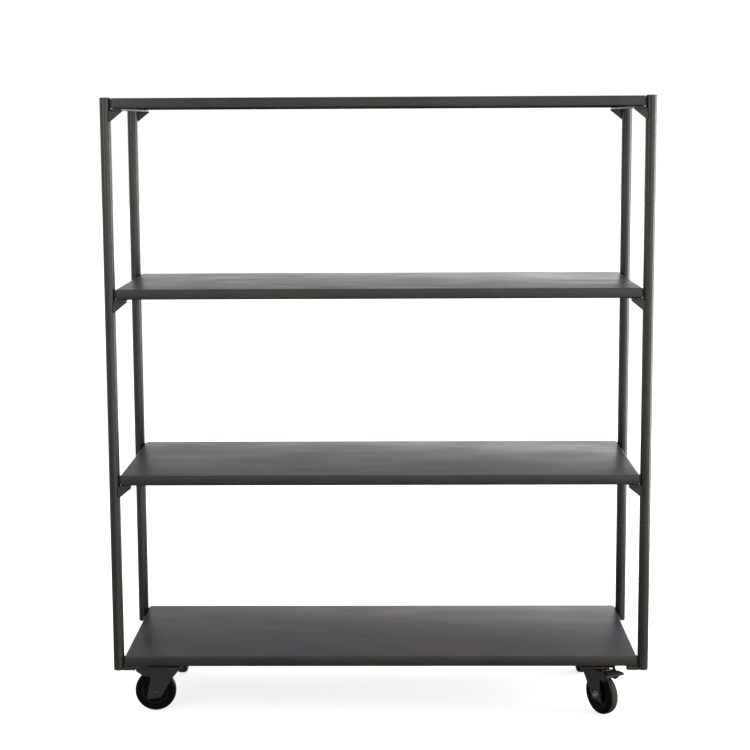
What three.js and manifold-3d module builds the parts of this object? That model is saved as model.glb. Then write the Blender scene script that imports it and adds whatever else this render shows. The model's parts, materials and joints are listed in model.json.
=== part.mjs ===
// Rolling four-shelf steel rack cart: tube posts, folded sheet shelves on welded
// bearers and gussets, and four swivel plate casters, the front two with brake pedals.
// Millimetres, +Z up. Front is -Y. Origin: floor level, middle of the footprint.
import * as THREE from 'three';
import { mergeVertices } from 'three/addons/utils/BufferGeometryUtils.js';
import Module from 'manifold-3d';

const wasm = await Module();
wasm.setup();

// ---------- driving dimensions ----------
const WIDTH = 1600;
const DEPTH = 500;
const TOP_SHELF_Z = 1858;
const SHELF_PITCH = 552;
const SHELF_COUNT = 4;
const GAP = 0.3; // clearance between touching pieces

const POST_R = 16;
const POST_WALL = 1.5;
const POST_BELOW_SHELF = 13;
const POST_X = WIDTH / 2 - POST_R;
const POST_Y = DEPTH / 2 - POST_R;
const CAP_RISE = 2;
const CAP_PLUG = 18;
const CAP_EDGE = 1;

const SHELF_END_GAP = 3;
const SHELF_LENGTH = 2 * (POST_X - POST_R - SHELF_END_GAP);
const SHELF_T = 30;
const SHEET = 1.5;
const FOLD_R = 3;
const RETURN_FLANGE = 14;

const BEARER_W = 34;
const BEARER_T = 5;
const BEARER_INSET = 2;
const GUSSET_W = 36;
const GUSSET_DROP = 38;
const GUSSET_T = 4;
const GUSSET_LIP = 1.5;
const GUSSET_INSET = 2; // behind the frame's front and rear planes
const GUSSET_HEEL = 2;
const LOW_GUSSET_CUT = 4;

const CASTER_X = 651;
const CASTER_Y = 147;
const CASTER_H = 160;
const CHANNEL_W = 104;
const CHANNEL_T = 3;
const CHANNEL_END_GAP = 2;

const WHEEL_R = 62.5;
const TYRE_W = 32;
const TYRE_SHOULDER = 9;
const HUB_R = 41;
const HUB_RIM_INSET = 3;
const HUB_WEB = 6;
const HUB_BARREL_R = 13;
const HUB_RIM_T = 8;
const CASTER_OFFSET = 38;
const AXLE_R = 5;
const BORE_R = 5.3;
const LEG_GAP = 40;
const LEG_T = 3;
const LEG_BACK = -37;
const LEG_TIP = 80;
// leg edge below the crown, from the waist round the foot to the skirt's tip: [x, z, corner radius]
const LEG_EDGE = [[-15, 105, 6], [21, 46, 5], [63, 40, 6], [50, 112, 6], [76, 113, 3], [LEG_TIP, 118, 0]];
const NUT_R = 7.5;
const NUT_T = 6;
const BOLT_END = 2;
const PLATE_X = 95;
const PLATE_Y = 80;
const PLATE_T = 4;
const RACE_R = 33;
const RACE_TOP = CASTER_H - PLATE_T;
const RACE_SPLIT = 147;
const RACE_STEP = 3;
const CROWN_Z = 134;
const CROWN_T = 4;
const KINGPIN_R = 6;
const KINGPIN_HEAD = { wider: 4, thick: 5 };
const PEDAL_LENGTH = 99;
const PEDAL_W = 68;
const PEDAL_NECK_W = 46;
const PEDAL_T = 2.5;
const PEDAL_PIVOT = { x: 68, z: 139 };
const PEDAL_BARREL_R = 4.5;
const PEDAL_PIN_R = 3;
const PEDAL_RISE = 7.5;
const PEDAL_FALL = 7;
const PEDAL_LIP = 8;
const PEDAL_WIDE_FROM = 16;
// side flange under the pedal, from the pivot: [dx, dz]
const CHEEK = [[3, 4], [3, -13], [12, -22.5], [26, -13], [29, -5], [29, -2], [9, 6]];
const CHEEK_T = 2.4;
const SHOE = [[-7, 0], [-7, -16], [1, -19.2], [4, 0]];
const SHOE_HALF_W = 10;
const EAR_FOOT = 9;
const EAR_TIP = 6;
const EAR_RISE = 8;

// facets round a full turn
const POST_SIDES = 24;
const WHEEL_SIDES = 32;
const RACE_SIDES = 24;
const PIN_SIDES = 12;
const SHOULDER_STEPS = 2;

// where each caster sits, which way its wheel trails (degrees from +X), and its brake
const CASTERS = [
  { name: 'front_left', x: -CASTER_X, y: -CASTER_Y, trail: 180, brake: true },
  { name: 'front_right', x: CASTER_X, y: -CASTER_Y, trail: -58, brake: true },
  { name: 'rear_left', x: -CASTER_X, y: CASTER_Y, trail: 90, brake: false },
  { name: 'rear_right', x: CASTER_X, y: CASTER_Y, trail: 90, brake: false },
];

// ---------- materials ----------
const finish = (color, roughness, metalness) =>
  new THREE.MeshStandardMaterial({ color, roughness, metalness });
const tubeSteel = finish(0x4a4745, 0.42, 0.75);
const shelfSteel = finish(0x55514c, 0.45, 0.7);
const bracketSteel = finish(0x45423f, 0.5, 0.7);
const capPlastic = finish(0x242322, 0.55, 0.0);
const casterSteel = finish(0x3a3a3b, 0.4, 0.8);
const hubPlastic = finish(0x1e1e1e, 0.5, 0.0);
const tyreRubber = finish(0x2a2927, 0.65, 0.0);
const axleSteel = finish(0x9a9a98, 0.3, 0.9);

// ---------- solids ----------
// closed three.js geometry -> manifold solid
function solid(geometry) {
  const bare = geometry.index ? geometry : geometry.clone();
  bare.deleteAttribute('normal');
  bare.deleteAttribute('uv');
  const merged = mergeVertices(bare, 1e-4);
  const vertProperties = new Float32Array(merged.attributes.position.array);
  const triVerts = new Uint32Array(merged.index.array);
  return new wasm.Manifold(new wasm.Mesh({ numProp: 3, vertProperties, triVerts }));
}

// manifold solid -> three.js geometry
function geometryOf(body) {
  const mesh = body.getMesh();
  const geometry = new THREE.BufferGeometry();
  geometry.setAttribute('position', new THREE.BufferAttribute(mesh.vertProperties, 3));
  geometry.setIndex(new THREE.BufferAttribute(mesh.triVerts, 1));
  geometry.computeVertexNormals();
  return geometry;
}

function box([x0, y0, z0], [x1, y1, z1]) {
  return new THREE.BoxGeometry(x1 - x0, y1 - y0, z1 - z0)
    .translate((x0 + x1) / 2, (y0 + y1) / 2, (z0 + z1) / 2);
}

// cylinder along Z from z0 to z1
function cylinderZ(radius, z0, z1, sides = PIN_SIDES) {
  return new THREE.CylinderGeometry(radius, radius, z1 - z0, sides)
    .rotateX(Math.PI / 2)
    .translate(0, 0, (z0 + z1) / 2);
}

// cylinder along Y, centred on the XZ point
function cylinderY(radius, halfLength, x, z, sides = PIN_SIDES) {
  return new THREE.CylinderGeometry(radius, radius, 2 * halfLength, sides).translate(x, 0, z);
}

// profile of [radius, height] points turned about Z
function turned(profile, sides) {
  const points = profile.map(([r, z]) => new THREE.Vector2(r, z));
  return new THREE.LatheGeometry(points, sides).rotateX(Math.PI / 2);
}

// outline drawn in XZ, extruded along Y from y0 to y1
function plateXZ(shape, y0, y1, curveSegments = 6) {
  const options = { depth: y1 - y0, bevelEnabled: false, curveSegments };
  return new THREE.ExtrudeGeometry(shape, options)
    .rotateX(Math.PI / 2)
    .translate(0, y1, 0);
}

function outline(points) {
  return new THREE.Shape(points.map(([x, y]) => new THREE.Vector2(x, y)));
}

// outline whose points' third value rounds their corner; the first point is square
function roundedOutline(points) {
  const shape = new THREE.Shape();
  points.forEach(([x, y, r = 0], i) => {
    const [start, end] = [points.at(i - 1), points[(i + 1) % points.length]].map(([nextX, nextY]) =>
      new THREE.Vector2(nextX - x, nextY - y).setLength(r).add(new THREE.Vector2(x, y)));
    if (i === 0) shape.moveTo(start.x, start.y);
    else shape.lineTo(start.x, start.y);
    if (r > 0) shape.quadraticCurveTo(x, y, end.x, end.y);
  });
  shape.closePath();
  return shape;
}

// ---------- frame ----------
const shelfTopZ = (level) => TOP_SHELF_Z - (SHELF_COUNT - 1 - level) * SHELF_PITCH;
const lipBottomZ = (level) => shelfTopZ(level) - SHELF_T;
const postBottomZ = lipBottomZ(0) - POST_BELOW_SHELF;

// open steel tube, standing on the Z axis
function postTube() {
  const inner = POST_R - POST_WALL;
  const profile = [
    [inner, postBottomZ],
    [POST_R, postBottomZ],
    [POST_R, TOP_SHELF_Z],
    [inner, TOP_SHELF_Z],
    [inner, postBottomZ],
  ];
  return turned(profile, POST_SIDES);
}

// plug that closes the tube, with a low domed head
function postCap() {
  const plugR = POST_R - POST_WALL - GAP;
  const seat = TOP_SHELF_Z + GAP;
  const profile = [
    [0, TOP_SHELF_Z - CAP_PLUG],
    [plugR, TOP_SHELF_Z - CAP_PLUG],
    [plugR, seat],
    [POST_R - GAP, seat],
    [POST_R - CAP_EDGE, seat + CAP_EDGE],
    [0, seat + CAP_RISE],
  ];
  return turned(profile, POST_SIDES);
}

// shelf section in (Y, Z): square bottom edges, folded round top edges, inset by `inset`
function shelfSection(inset) {
  const y = DEPTH / 2 - inset;
  const top = -inset;
  const r = FOLD_R - inset;
  const section = new THREE.Shape();
  section.moveTo(-y, -SHELF_T);
  section.lineTo(y, -SHELF_T);
  section.lineTo(y, top - r);
  section.absarc(y - r, top - r, r, 0, Math.PI / 2, false);
  section.lineTo(-y + r, top);
  section.absarc(-y + r, top - r, r, Math.PI / 2, Math.PI, false);
  section.closePath();
  return section;
}

// section in (Y, Z) extruded along X, centred
function alongX(section, length) {
  return new THREE.ExtrudeGeometry(section, { depth: length, bevelEnabled: false, curveSegments: 5 })
    .translate(0, 0, -length / 2)
    .rotateX(Math.PI / 2)
    .rotateZ(Math.PI / 2);
}

// folded pan: deck, lips on four sides, and flanges turned in under the lips
function shelfPan(level) {
  const outer = solid(alongX(shelfSection(0), SHELF_LENGTH));
  const hollow = solid(alongX(shelfSection(SHEET), SHELF_LENGTH - 2 * SHEET));
  const halfX = SHELF_LENGTH / 2 - SHEET;
  const halfY = DEPTH / 2 - SHEET;
  const floor = solid(box([-halfX, -halfY, -SHELF_T], [halfX, halfY, -SHELF_T + SHEET]));
  const openX = halfX - RETURN_FLANGE;
  const openY = halfY - RETURN_FLANGE;
  const mouth = solid(box([-openX, -openY, -SHELF_T - 1], [openX, openY, -SHELF_T + SHEET + 1]));
  const pan = outer.subtract(hollow).add(floor).subtract(mouth);
  return geometryOf(pan).translate(0, 0, shelfTopZ(level));
}

// flat bar from front to back under one end of a shelf
function bearer(level, side) {
  const outerX = POST_X - POST_R - GAP;
  const xs = [side * (outerX - BEARER_W), side * outerX].sort((a, b) => a - b);
  const top = lipBottomZ(level) - GAP;
  const y = DEPTH / 2 - BEARER_INSET;
  return box([xs[0], -y, top - BEARER_T], [xs[1], y, top]);
}

// triangular plate between a post and the bearer over it, near the frame's front or rear plane;
// the lowest ones end flush with the posts
function gusset(level, side, end) {
  const y0 = DEPTH / 2 - GUSSET_INSET - GUSSET_T;
  const postFace = POST_X - GAP - Math.sqrt(POST_R ** 2 - (y0 - POST_Y) ** 2);
  const top = lipBottomZ(level) - BEARER_T - 2 * GAP;
  const full = lipBottomZ(level) - GUSSET_DROP;
  const tip = POST_X - POST_R - GUSSET_W;
  const freeEdge = full < postBottomZ
    ? [[tip + LOW_GUSSET_CUT, postBottomZ], [postFace, postBottomZ]]
    : [[tip, top - GUSSET_LIP], [postFace - GUSSET_HEEL, full], [postFace, full]];
  const shape = outline([[postFace, top], [tip, top], ...freeEdge].map(([x, z]) => [side * x, z]));
  return plateXZ(shape, y0, y0 + GUSSET_T).translate(0, end < 0 ? -2 * y0 - GUSSET_T : 0, 0);
}

// channel across the underside of the bottom shelf, web down, that the casters bolt to
function casterChannel(side) {
  const top = shelfTopZ(0) - SHEET - GAP;
  const bottom = CASTER_H + GAP;
  const half = CHANNEL_W / 2;
  const y = DEPTH / 2 - RETURN_FLANGE - SHEET - CHANNEL_END_GAP;
  const x = side * CASTER_X;
  const block = solid(box([x - half, -y, bottom], [x + half, y, top]));
  const inside = box(
    [x - half + CHANNEL_T, -y - 1, bottom + CHANNEL_T],
    [x + half - CHANNEL_T, y + 1, top + 1],
  );
  return geometryOf(block.subtract(solid(inside)));
}

// ---------- casters (local: swivel axis on Z, wheel trails along +X) ----------
// bolt plate with the upper ball race and kingpin
function topPlate() {
  const halfX = PLATE_X / 2;
  const halfY = PLATE_Y / 2;
  const plate = solid(box([-halfX, -halfY, RACE_TOP], [halfX, halfY, CASTER_H]));
  const race = solid(turned([
    [0, RACE_SPLIT + GAP],
    [RACE_R - 2 * RACE_STEP, RACE_SPLIT + GAP],
    [RACE_R - 1, RACE_SPLIT + RACE_STEP],
    [RACE_R - RACE_STEP, RACE_TOP + 1],
    [0, RACE_TOP + 1],
  ], RACE_SIDES));
  const { wider, thick } = KINGPIN_HEAD;
  const pin = solid(cylinderZ(KINGPIN_R, CROWN_Z - thick / 2, RACE_TOP));
  const head = solid(cylinderZ(KINGPIN_R + wider, CROWN_Z - thick, CROWN_Z - GAP));
  return geometryOf(plate.add(race).add(pin).add(head));
}

// side outline of one fork leg with its skirt over the wheel
function legShape() {
  const top = CROWN_Z + CROWN_T;
  return roundedOutline([[LEG_BACK, top], [LEG_BACK, CROWN_Z - CROWN_T / 2], ...LEG_EDGE, [LEG_TIP, top]]);
}

// pressed fork: crown, lower ball race and two legs, bored for the kingpin and axle
function fork() {
  const inner = LEG_GAP / 2;
  const outer = inner + LEG_T;
  const bothLegs = (shape) => [-outer, inner].map((y) => solid(plateXZ(shape, y, y + LEG_T)));
  const { x, z } = PEDAL_PIVOT;
  const earTop = z + EAR_RISE;
  const ear = outline([
    [x - EAR_FOOT, CROWN_Z], [x + EAR_FOOT, CROWN_Z], [x + EAR_TIP, earTop], [x - EAR_TIP, earTop],
  ]);
  const crownEnd = x - 2 * PEDAL_BARREL_R - 2;
  const crown = solid(box([LEG_BACK, -outer, CROWN_Z], [crownEnd, outer, CROWN_Z + CROWN_T]));
  const race = solid(turned([
    [0, CROWN_Z + GAP],
    [RACE_R + RACE_STEP, CROWN_Z + GAP],
    [RACE_R + RACE_STEP, RACE_SPLIT - 2 * RACE_STEP],
    [RACE_R, RACE_SPLIT],
    [0, RACE_SPLIT],
  ], RACE_SIDES));
  const pinHole = solid(cylinderZ(KINGPIN_R + GAP, CROWN_Z - 1, RACE_SPLIT + 1));
  const axleHole = solid(cylinderY(BORE_R, outer + 1, CASTER_OFFSET, WHEEL_R));
  const pivotHole = solid(cylinderY(PEDAL_PIN_R + GAP, outer + 1, x, z));
  const parts = [...bothLegs(legShape()), crown, race, ...bothLegs(ear)];
  const whole = parts.reduce((sum, piece) => sum.add(piece));
  return geometryOf(whole.subtract(pinHole).subtract(axleHole).subtract(pivotHole));
}

// rubber tread with rounded shoulders, turned about the wheel's own axis
function tyre() {
  const half = TYRE_W / 2;
  const profile = [[HUB_R, -half + 1], [WHEEL_R - TYRE_SHOULDER, -half]];
  for (let step = 1; step <= SHOULDER_STEPS; step += 1) {
    const angle = (step / SHOULDER_STEPS) * (Math.PI / 2);
    const r = WHEEL_R - TYRE_SHOULDER * (1 - Math.sin(angle));
    profile.push([r, -half + TYRE_SHOULDER * (1 - Math.cos(angle))]);
  }
  const mirrored = profile.map(([r, z]) => [r, -z]).reverse();
  return placeWheel(turned([...profile, ...mirrored, profile[0]], WHEEL_SIDES));
}

// wheel centre with recessed faces, a barrel and an axle bore
function hub() {
  const rim = TYRE_W / 2 - HUB_RIM_INSET;
  const barrel = LEG_GAP / 2 - 2 * GAP;
  const side = [
    [BORE_R, barrel],
    [HUB_BARREL_R, barrel],
    [HUB_BARREL_R + 2, HUB_WEB],
    [HUB_R - HUB_RIM_T, HUB_WEB],
    [HUB_R - GAP, rim],
  ];
  const other = side.map(([r, z]) => [r, -z]).reverse();
  return placeWheel(turned([...side, ...other, side[0]].reverse(), WHEEL_SIDES));
}

function placeWheel(geometry) {
  return geometry.rotateX(Math.PI / 2).translate(CASTER_OFFSET, 0, WHEEL_R);
}

// axle bolt with a hex head and nut outside the legs
function axle() {
  const face = LEG_GAP / 2 + LEG_T + GAP;
  const shank = solid(cylinderY(AXLE_R, face + NUT_T + BOLT_END, CASTER_OFFSET, WHEEL_R));
  const hexes = [-1, 1].map((side) => {
    const hex = cylinderY(NUT_R, NUT_T / 2, CASTER_OFFSET, WHEEL_R, 6);
    return solid(hex.translate(0, side * (face + NUT_T / 2), 0));
  });
  return geometryOf(shank.add(hexes[0]).add(hexes[1]));
}

// foot pedal: sheet arm from the pivot barrel out past the wheel, with side flanges, a tread that
// flares and turns down at its tip, and the shoe that grips the tyre
function brakePedal() {
  const { x, z } = PEDAL_PIVOT;
  const barrelHalf = LEG_GAP / 2 - GAP;
  const barrel = solid(cylinderY(PEDAL_BARREL_R, barrelHalf, x, z));
  const pin = solid(cylinderY(PEDAL_PIN_R, LEG_GAP / 2 + LEG_T + BOLT_END, x, z));
  const root = z + PEDAL_RISE;
  const tip = root - PEDAL_FALL;
  const end = PEDAL_LENGTH;
  const lip = [
    [end - PEDAL_T, tip - PEDAL_T],
    [end - PEDAL_T / 2, tip - PEDAL_LIP],
    [end, tip - PEDAL_LIP],
    [end, tip - PEDAL_T / 2],
    [end - PEDAL_T, tip],
  ];
  const arm = outline([
    [x - PEDAL_BARREL_R, z + 1],
    [x + PEDAL_BARREL_R - 1, z - 1],
    [x + EAR_FOOT + PEDAL_T, root - 2 * PEDAL_T],
    ...lip,
    [x + EAR_FOOT, root],
    [x - PEDAL_BARREL_R / 2, z + PEDAL_BARREL_R],
  ]);
  const narrow = solid(plateXZ(arm, -barrelHalf + 1, barrelHalf - 1));
  const wideX = x + PEDAL_WIDE_FROM;
  const wideTop = THREE.MathUtils.mapLinear(wideX, x + EAR_FOOT, end - PEDAL_T, root, tip);
  const wide = outline([[wideX, wideTop - PEDAL_T], ...lip, [wideX, wideTop]]);
  const planform = outline([
    [wideX, -PEDAL_NECK_W / 2], [end, -PEDAL_W / 2], [end, PEDAL_W / 2], [wideX, PEDAL_NECK_W / 2],
  ]);
  const wedge = new THREE.ExtrudeGeometry(planform, { depth: 2 * z, bevelEnabled: false });
  const tread = solid(plateXZ(wide, -PEDAL_W / 2, PEDAL_W / 2)).intersect(solid(wedge));
  const cheek = outline(CHEEK.map(([dx, dz]) => [x + dx, z + dz]));
  const cheeks = [-barrelHalf + GAP, barrelHalf - GAP - CHEEK_T].map((y) =>
    solid(plateXZ(cheek, y, y + CHEEK_T)));
  const shoeOutline = outline(SHOE.map(([dx, dz]) => [x + dx, z + dz]));
  const shoe = solid(plateXZ(shoeOutline, -SHOE_HALF_W, SHOE_HALF_W));
  return geometryOf([pin, narrow, tread, shoe, ...cheeks].reduce((sum, piece) => sum.add(piece), barrel));
}

// ---------- assembly ----------
const cart = new THREE.Group();

function add(name, geometry, material, parent = cart) {
  const mesh = new THREE.Mesh(geometry, material);
  mesh.name = name;
  parent.add(mesh);
  return mesh;
}

const SIDES = [['left', -1], ['right', 1]];
const ENDS = [['front', -1], ['rear', 1]];
const LEVELS = ['bottom', 'lower', 'upper', 'top'];

for (const [endName, end] of ENDS) {
  for (const [sideName, side] of SIDES) {
    const place = [side * POST_X, end * POST_Y, 0];
    add(`post_${endName}_${sideName}`, postTube(), tubeSteel).position.set(...place);
    add(`post_cap_${endName}_${sideName}`, postCap(), capPlastic).position.set(...place);
  }
}

LEVELS.forEach((levelName, level) => {
  add(`shelf_${levelName}`, shelfPan(level), shelfSteel);
  for (const [sideName, side] of SIDES) {
    add(`bearer_${levelName}_${sideName}`, bearer(level, side), bracketSteel);
    for (const [endName, end] of ENDS) {
      add(`gusset_${levelName}_${endName}_${sideName}`, gusset(level, side, end), bracketSteel);
    }
  }
});

for (const [sideName, side] of SIDES) {
  add(`caster_channel_${sideName}`, casterChannel(side), bracketSteel);
}

for (const { name, x, y, trail, brake } of CASTERS) {
  const mount = new THREE.Group();
  mount.position.set(x, y, 0);
  cart.add(mount);
  add(`caster_plate_${name}`, topPlate(), casterSteel, mount);

  const swivel = new THREE.Group();
  swivel.rotation.z = THREE.MathUtils.degToRad(trail);
  mount.add(swivel);
  add(`caster_fork_${name}`, fork(), casterSteel, swivel);
  add(`caster_axle_${name}`, axle(), axleSteel, swivel);
  add(`wheel_hub_${name}`, hub(), hubPlastic, swivel);
  add(`wheel_tyre_${name}`, tyre(), tyreRubber, swivel);
  if (brake) add(`brake_pedal_${name}`, brakePedal(), casterSteel, swivel);
}

export default cart;
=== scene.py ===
import json
import math

import bmesh
import bpy
from mathutils import Matrix, Vector, noise


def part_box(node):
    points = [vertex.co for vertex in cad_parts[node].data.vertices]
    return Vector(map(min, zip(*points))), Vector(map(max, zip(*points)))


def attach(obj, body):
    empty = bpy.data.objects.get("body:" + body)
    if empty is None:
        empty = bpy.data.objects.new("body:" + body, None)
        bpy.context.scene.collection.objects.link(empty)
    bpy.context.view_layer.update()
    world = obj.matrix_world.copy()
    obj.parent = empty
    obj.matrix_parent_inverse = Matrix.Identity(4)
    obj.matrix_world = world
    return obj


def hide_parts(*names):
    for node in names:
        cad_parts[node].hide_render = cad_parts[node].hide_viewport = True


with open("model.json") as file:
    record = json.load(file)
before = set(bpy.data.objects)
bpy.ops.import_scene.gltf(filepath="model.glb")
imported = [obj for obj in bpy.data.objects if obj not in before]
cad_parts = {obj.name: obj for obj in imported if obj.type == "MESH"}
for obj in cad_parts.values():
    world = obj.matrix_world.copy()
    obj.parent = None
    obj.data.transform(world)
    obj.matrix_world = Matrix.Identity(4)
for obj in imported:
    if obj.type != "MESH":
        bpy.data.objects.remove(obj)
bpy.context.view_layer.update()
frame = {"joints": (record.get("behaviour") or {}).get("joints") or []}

MM = 0.001
MIX_FACTOR, MIX_A, MIX_B, MIX_RESULT = 0, 6, 7, 2       # sockets of a Mix node set to colour

# ---------------------------------------------------------------- driving sizes (metres)
SHEET = 1.5 * MM            # shelf sheet
FLANGE = 14 * MM            # shelf sheet turned in under each lip
FOLD_R = 3 * MM             # fold along the deck's edges
CORNER_R = 5 * MM           # vertical corners of a shelf
POST_WALL = 1.5 * MM
POST_ROWS = 24              # rings of points along a tube
CHANNEL_T = 3 * MM          # sheet of the channels that carry the casters
GAP_SHADE_HALF_Y = 6 * MM         # half the width of a near-black block in the gap between a shelf's end and a post: painted shade
WELD_R = 1.7 * MM
WELD_STEP = 1.1 * MM        # between the ripples' rings
BOLT_HEX = 13 * MM          # across flats, plate bolts and axle nut
BOLT_R = 4 * MM             # plate bolt shank
BOLT_INSET = 11 * MM        # plate bolt in from the plate's edges
WASHER = 1.4 * MM

# caster, in its own frame: origin on the floor under the swivel, +X the way the wheel trails
CASTER_OFFSET = 38 * MM     # wheel axle behind the swivel axis
AXLE_Z = 62.5 * MM
AXLE_BORE_R = 5.3 * MM
HUB_R = 41 * MM
TYRE_HALF = 16 * MM         # half the tyre's width
TREAD_DEPTH = 2.5 * MM      # how far in from the running surface the tyre is dusty
LEG_T = 3 * MM
LEG_GAP = 40 * MM
CROWN_Z = 134 * MM          # underside of the fork's crown
CROWN_TOP = 138 * MM
RACE_TOP = 147 * MM         # top of the lower ball race
KINGPIN_R, KINGPIN_BORE_R = 5.8 * MM, 6.3 * MM
CASTER_PLATE_T = 4 * MM
PEDAL_PIVOT = (68 * MM, 139 * MM)
PEDAL_PIN_R, PEDAL_BORE_R = 3 * MM, 3.3 * MM
PEDAL_END = 99 * MM         # outer edge of the pedal's lip

LEVELS = ["bottom", "lower", "upper", "top"]
ENDS = ["front", "rear"]
SIDES = ["left", "right"]
CORNERS = [(end, side) for end in ENDS for side in SIDES]


# ---------------------------------------------------------------- camera, light and floor
# the photograph's view: just under the top shelf's height, slightly right of the middle; degrees
CAMERA_PLACE = (0.0474, -4.7498, 1.7845)
CAMERA_DOWN, CAMERA_ROLL, CAMERA_TURN = 6.893, -0.293, 0.736
CAMERA_LENS = 74.902
CAMERA_SHIFT = -0.085

# how bright the studio is along each axis of direction, from -1 to 1; the three are multiplied
STUDIO_LIGHT = {
    "X": [(-1, 0.60), (-0.3, 0.70), (0, 1.0), (0.3, 1.35), (0.6, 2.2), (0.8, 1.5), (1, 0.8)],
    "Y": [(-1, 0.88), (-0.5, 0.85), (0.3, 1.0), (1, 1.1)],
    "Z": [(-1, 0.15), (-0.32, 0.15), (-0.22, 1.05), (-0.12, 1.35), (0.0, 1.7), (0.10, 1.65), (0.21, 1.2),
          (0.32, 0.29), (0.55, 0.40), (0.85, 1.2), (1, 1.3)],
}
STUDIO_PEAK = 2.5           # the curves' top; they hold levels from 0 to 1
# the tints of its front and back
STUDIO_FRONT, STUDIO_BACK = (0.98, 1.0, 0.955, 1), (1.0, 0.975, 0.993, 1)
BACKDROP = 1.05             # the studio as the camera sees it: just past white
FLOOR_REACH = 30            # metres each way
FLOOR_GLOW = 0.72

# softboxes: place, what it faces, width and height, watts
SOFTBOXES = {
    "top_softbox": ((0.6, -0.4, 4.2), (0, 0, 0.5), (2.6, 1.6), 24),
    "right_softbox": ((3.6, -0.1, 1.1), (0.7, 0.0, 1.0), (1.5, 2.4), 95),
    "left_softbox": ((-2.4, -2.6, 2.2), (-0.8, -0.25, 1.4), (1.2, 1.8), 15),
}


def make_camera():
    """The photograph's viewing angle, with a small downward shift for its upright posts."""
    data = bpy.data.cameras.new("camera")
    data.sensor_width = 36
    data.lens = CAMERA_LENS
    data.shift_y = CAMERA_SHIFT
    data.clip_end = 60
    camera = bpy.data.objects.new("camera", data)
    bpy.context.scene.collection.objects.link(camera)
    turn = Matrix.Rotation(math.radians(CAMERA_TURN), 4, "Z")
    tilt = Matrix.Rotation(math.radians(90 - CAMERA_DOWN), 4, "X")
    roll = Matrix.Rotation(math.radians(CAMERA_ROLL), 4, "Z")
    camera.matrix_world = Matrix.Translation(CAMERA_PLACE) @ turn @ tilt @ roll
    bpy.context.scene.camera = camera


def make_softbox(name, place, target, size, energy):
    """A rectangular light that the camera doesn't see."""
    data = bpy.data.lights.new(name, "AREA")
    data.shape = "RECTANGLE"
    data.size, data.size_y = size
    data.energy = energy
    light = bpy.data.objects.new(name, data)
    bpy.context.scene.collection.objects.link(light)
    light.visible_camera = False
    light.location = place
    light.rotation_euler = (Vector(target) - Vector(place)).to_track_quat("-Z", "Y").to_euler()
    return light


def keep_off(light, pieces):
    """Keeps one light off some pieces, as a flag does in a studio."""
    flagged = bpy.data.collections.new(f"{light.name}_flag")
    for piece in pieces:
        flagged.objects.link(piece)
    for entry in flagged.collection_objects:
        entry.light_linking.link_state = "EXCLUDE"
    light.light_linking.receiver_collection = flagged


def make_world():
    """A white studio to the camera; its light comes mostly from the right and from low behind."""
    world = bpy.data.worlds.new("studio")
    bpy.context.scene.world = world
    world.use_nodes = True
    nodes, link = world.node_tree.nodes, world.node_tree.links.new
    split = nodes.new("ShaderNodeSeparateXYZ")
    link(nodes.new("ShaderNodeTexCoord").outputs["Generated"], split.inputs[0])
    light = None
    for axis, stops in STUDIO_LIGHT.items():
        ramp = nodes.new("ShaderNodeFloatCurve")
        points = ramp.mapping.curves[0].points
        while len(points) < len(stops):
            points.new(0.5, 0.5)
        for point, (where, level) in zip(points, stops):
            point.location = ((where + 1) / 2, level / STUDIO_PEAK)
            point.handle_type = "VECTOR"
        ramp.mapping.update()
        unit = nodes.new("ShaderNodeMapRange")
        unit.inputs["From Min"].default_value = -1
        link(split.outputs[axis], unit.inputs["Value"])
        if axis == "Y":
            tint = nodes.new("ShaderNodeMix")
            tint.data_type = "RGBA"
            tint.inputs[MIX_A].default_value = STUDIO_FRONT
            tint.inputs[MIX_B].default_value = STUDIO_BACK
            link(unit.outputs[0], tint.inputs[MIX_FACTOR])
        link(unit.outputs[0], ramp.inputs["Value"])
        scaled = nodes.new("ShaderNodeMath")
        scaled.operation = "MULTIPLY"
        scaled.inputs[1].default_value = STUDIO_PEAK
        link(ramp.outputs[0], scaled.inputs[0])
        if light is None:
            light = scaled
            continue
        product = nodes.new("ShaderNodeMath")
        product.operation = "MULTIPLY"
        link(light.outputs[0], product.inputs[0])
        link(scaled.outputs[0], product.inputs[1])
        light = product
    path = nodes.new("ShaderNodeLightPath").outputs["Is Camera Ray"]
    shown = nodes.new("ShaderNodeMix")
    link(path, shown.inputs["Factor"])
    link(light.outputs[0], shown.inputs["A"])
    shown.inputs["B"].default_value = BACKDROP
    background = nodes["Background"]
    link(tint.outputs[MIX_RESULT], background.inputs["Color"])
    link(shown.outputs["Result"], background.inputs["Strength"])


def make_floor():
    """Seamless white paper: it shows and takes the cart's shadow, and throws no light of its own on it."""
    mesh = bpy.data.meshes.new("floor")
    corners = [(-FLOOR_REACH, -FLOOR_REACH, 0), (FLOOR_REACH, -FLOOR_REACH, 0),
               (FLOOR_REACH, FLOOR_REACH, 0), (-FLOOR_REACH, FLOOR_REACH, 0)]
    mesh.from_pydata(corners, [], [(0, 1, 2, 3)])
    floor = bpy.data.objects.new("floor", mesh)
    bpy.context.scene.collection.objects.link(floor)
    paint = bpy.data.materials.new("floor_paper")
    paint.use_nodes = True
    shader = paint.node_tree.nodes["Principled BSDF"]
    shader.inputs["Base Color"].default_value = (0.9, 0.9, 0.9, 1)
    shader.inputs["Roughness"].default_value = 0.9
    shader.inputs["Emission Color"].default_value = (1, 1, 1, 1)
    shader.inputs["Emission Strength"].default_value = FLOOR_GLOW
    mesh.materials.append(paint)
    floor.visible_diffuse = False
    floor.visible_glossy = False


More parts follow.
